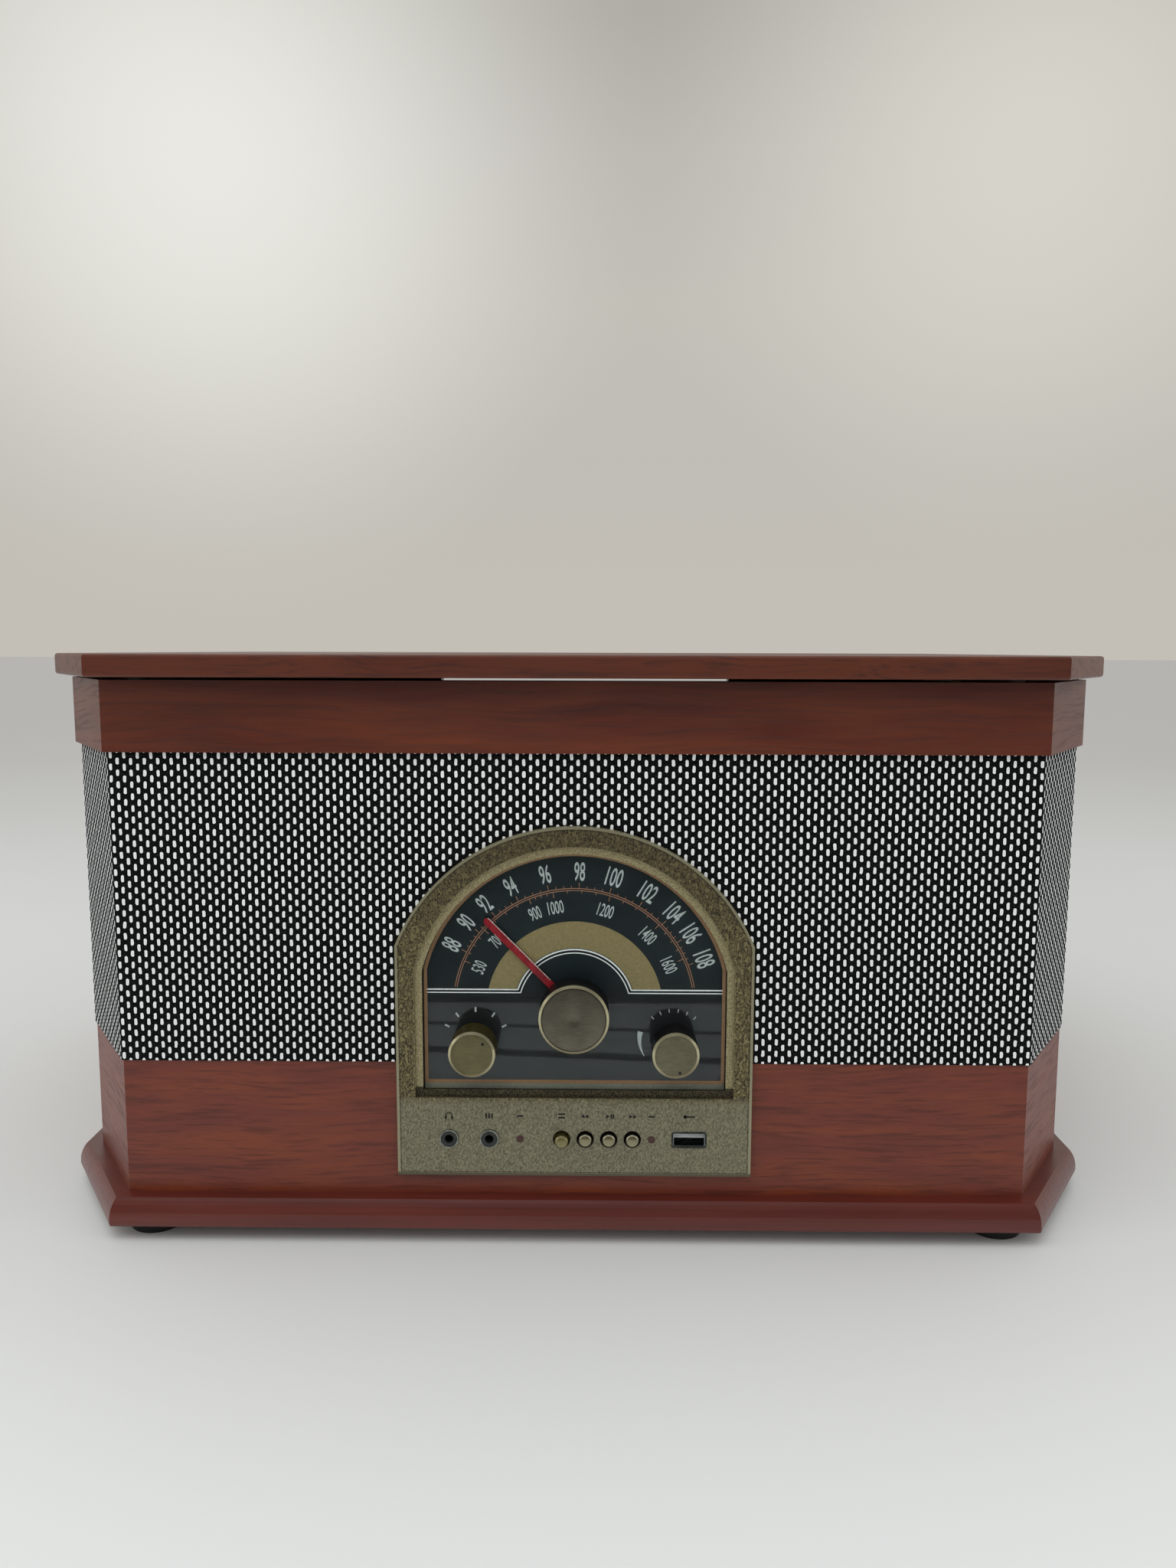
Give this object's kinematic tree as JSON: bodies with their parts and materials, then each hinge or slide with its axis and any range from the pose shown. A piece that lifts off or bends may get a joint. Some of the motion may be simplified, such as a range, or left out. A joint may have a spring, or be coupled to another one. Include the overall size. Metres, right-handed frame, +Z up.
{
  "type": "record player",
  "caption": "Table-top wooden record player with a radio: cut front corners, hinged flat lid over a belt-driven platter and tonearm, arched dial panel with knobs and buttons.",
  "frame": {"origin": "centre of the whole object's box, on the surface that it stands on", "axes": "+X to the right seen from the front, +Y from the front panel to the hinges, +Z up"},
  "size_m": [0.4548, 0.3524, 0.24],
  "materials": {
    "base_wood": "satin lacquer, reddish brown",
    "cabinet_wood": "satin lacquer, reddish brown with orange streaks",
    "rail_wood": "satin lacquer, dark mahogany",
    "lid_wood": "satin lacquer, dark brown",
    "batten_wood": "bare softwood",
    "back_board": "painted fibreboard, matt",
    "baffle_board": "painted fibreboard, matt",
    "foot_rubber": "matt",
    "bumper_rubber": "soft, translucent grey",
    "belt_rubber": "smooth",
    "mat_rubber": "ribbed, matt",
    "grille_cloth": "woven, black with pale slubs",
    "deck_plastic": "fine grain",
    "bezel_bronze": "wrinkle finish with a polished lip",
    "dial_print": "printed scale under gloss",
    "window_clear": "clear, gloss",
    "jack_metal": "polished",
    "lamp_red": "clear tinted lens",
    "circuit_board": "solder mask",
    "control_metal": "pressed sheet",
    "speaker_metal": "pressed sheet, satin",
    "speaker_paper": "pressed paper",
    "ferrite_grey": "sintered rod",
    "motor_metal": "plated can",
    "bearing_brass": "turned",
    "socket_plastic": "moulded",
    "screw_steel": "zinc plated",
    "arm_plastic": "moulded, satin",
    "stay_metal": "plated strip",
    "hinge_brass": "plated, satin",
    "platter_metal": "spun and turned rim",
    "spindle_steel": "polished",
    "pulley_brass": "turned",
    "yoke_metal": "satin",
    "arm_metal": "satin tube",
    "cartridge_plastic": "moulded",
    "switch_metal": "plated",
    "adapter_plastic": "moulded",
    "knob_bronze": "spun face, polished rim",
    "button_bronze": "plated",
    "pointer_red": "tinted strip"
  },
  "bodies": {
    "cabinet": {"base_board": "base_wood", "rubber_feet": "foot_rubber", "front_board": "cabinet_wood", "corner_boards": "cabinet_wood", "side_boards": "cabinet_wood", "back_panel": "back_board", "speaker_baffles": "baffle_board", "grille_cloth": "grille_cloth", "rail_front": "rail_wood", "side_rails": "rail_wood", "rail_rear": "rail_wood", "deck_battens": "batten_wood", "deck": "deck_plastic", "bezel": "bezel_bronze", "dial_plate": "dial_print", "dial_window": "window_clear", "front_jacks": "jack_metal", "usb_socket": "jack_metal", "indicator_lamps": "lamp_red", "control_board": "circuit_board", "main_board": "circuit_board", "rotary_controls": "control_metal", "speaker_baskets": "speaker_metal", "speaker_cones": "speaker_paper", "ferrite_aerial": "ferrite_grey", "motor": "motor_metal", "drive_belt": "belt_rubber", "platter_bearing": "bearing_brass", "rear_sockets": "socket_plastic", "wood_screws": "screw_steel", "arm_base": "arm_plastic", "lid_bumpers": "bumper_rubber", "stay_track": "stay_metal", "hinge_leaves": "hinge_brass"},
    "lid": {"lid_panel": "lid_wood", "lid_hinge_leaves": "hinge_brass", "stay_bracket": "stay_metal"},
    "stay_arm": {"stay_arm": "stay_metal"},
    "platter": {"platter": "platter_metal", "platter_mat": "mat_rubber", "spindle": "spindle_steel"},
    "motor_pulley": {"motor_pulley": "pulley_brass"},
    "arm_yoke": {"arm_yoke": "yoke_metal"},
    "tonearm": {"tonearm": "arm_metal", "cartridge": "cartridge_plastic"},
    "arm_clip": {"arm_clip": "arm_plastic"},
    "cue_lever": {"cue_lever": "arm_plastic"},
    "lift_bar": {"lift_bar": "yoke_metal"},
    "speed_switch": {"speed_switch": "switch_metal"},
    "stop_switch": {"stop_switch": "switch_metal"},
    "record_adapter": {"record_adapter": "adapter_plastic"},
    "tuning_knob": {"tuning_knob": "knob_bronze", "dial_pointer": "pointer_red"},
    "volume_knob": {"volume_knob": "knob_bronze"},
    "function_knob": {"function_knob": "knob_bronze"},
    "button_source": {"button_source": "button_bronze"},
    "button_back": {"button_back": "button_bronze"},
    "button_play": {"button_play": "button_bronze"},
    "button_forward": {"button_forward": "button_bronze"}
  },
  "joints": [
    {"name": "lid_hinge", "type": "hinge", "parent": "cabinet", "child": "lid", "pos_m": [0, 0.174, 0.2304], "axis": [-1, 0, 0], "range_deg": [0, 75]},
    {"name": "stay_pivot", "type": "hinge", "parent": "lid", "child": "stay_arm", "pos_m": [0.1985, 0.069, 0.226], "axis": [-1, 0, 0], "range_deg": [-147.5, 0]},
    {"name": "platter_spin", "type": "hinge", "parent": "cabinet", "child": "platter", "pos_m": [-0.045, 0.0032, 0.2], "axis": [0, 0, 1], "continuous": true},
    {"name": "pulley_spin", "type": "hinge", "parent": "cabinet", "child": "motor_pulley", "pos_m": [-0.09736, 0.07268, 0.19], "axis": [0, 0, 1], "continuous": true},
    {"name": "arm_swing", "type": "hinge", "parent": "cabinet", "child": "arm_yoke", "pos_m": [0.14, 0.1002, 0.2], "axis": [0, 0, 1], "range_deg": [-47.3, 0]},
    {"name": "cue_lever_turn", "type": "hinge", "parent": "cabinet", "child": "cue_lever", "pos_m": [0.166, 0.0962, 0.198], "axis": [-1, 0, 0], "range_deg": [0, 60]},
    {"name": "arm_lift", "type": "hinge", "parent": "arm_yoke", "child": "tonearm", "pos_m": [0.14, 0.1002, 0.216], "axis": [-1, 0, 0], "range_deg": [0, 3.05]},
    {"name": "lift_bar_rise", "type": "slide", "parent": "cabinet", "child": "lift_bar", "axis": [0, 0, 1], "range_m": [0, 0.0021]},
    {"name": "arm_clip_turn", "type": "hinge", "parent": "cabinet", "child": "arm_clip", "pos_m": [0.147, -0.0498, 0.215], "axis": [0, 1, 0], "range_deg": [-150, 0]},
    {"name": "speed_switch_slide", "type": "slide", "parent": "cabinet", "child": "speed_switch", "axis": [0, 1, 0], "range_m": [0, 0.012]},
    {"name": "stop_switch_slide", "type": "slide", "parent": "cabinet", "child": "stop_switch", "axis": [0, 1, 0], "range_m": [0, 0.007]},
    {"name": "adapter_lift", "type": "slide", "parent": "cabinet", "child": "record_adapter", "axis": [0, 0, 1], "range_m": [0, 0.015]},
    {"name": "tuning_turn", "type": "hinge", "parent": "cabinet", "child": "tuning_knob", "pos_m": [0, -0.1618, 0.0966], "axis": [0, 1, 0], "range_deg": [-27.5, 118.5]},
    {"name": "volume_turn", "type": "hinge", "parent": "cabinet", "child": "volume_knob", "pos_m": [0.0406, -0.1618, 0.0821], "axis": [0, 1, 0], "range_deg": [0, 300]},
    {"name": "function_turn", "type": "hinge", "parent": "cabinet", "child": "function_knob", "pos_m": [-0.0406, -0.1618, 0.0821], "axis": [0, 1, 0], "range_deg": [-105, 15]},
    {"name": "button_source_press", "type": "slide", "parent": "cabinet", "child": "button_source", "axis": [0, 1, 0], "range_m": [0, 0.001], "stiffness_N_per_m": 200, "springref_m": -0.001},
    {"name": "button_back_press", "type": "slide", "parent": "cabinet", "child": "button_back", "axis": [0, 1, 0], "range_m": [0, 0.001], "stiffness_N_per_m": 200, "springref_m": -0.001},
    {"name": "button_play_press", "type": "slide", "parent": "cabinet", "child": "button_play", "axis": [0, 1, 0], "range_m": [0, 0.001], "stiffness_N_per_m": 200, "springref_m": -0.001},
    {"name": "button_forward_press", "type": "slide", "parent": "cabinet", "child": "button_forward", "axis": [0, 1, 0], "range_m": [0, 0.001], "stiffness_N_per_m": 200, "springref_m": -0.001}
  ],
  "couplings": [
    {"joint": "stay_pivot", "follows": "lid_hinge", "ratio": -1.962},
    {"joint": "pulley_spin", "follows": "platter_spin", "ratio": 12.5},
    {"joint": "arm_lift", "follows": "cue_lever_turn", "ratio": 0.05},
    {"joint": "lift_bar_rise", "follows": "cue_lever_turn", "m_per_rad": 0.002}
  ]
}
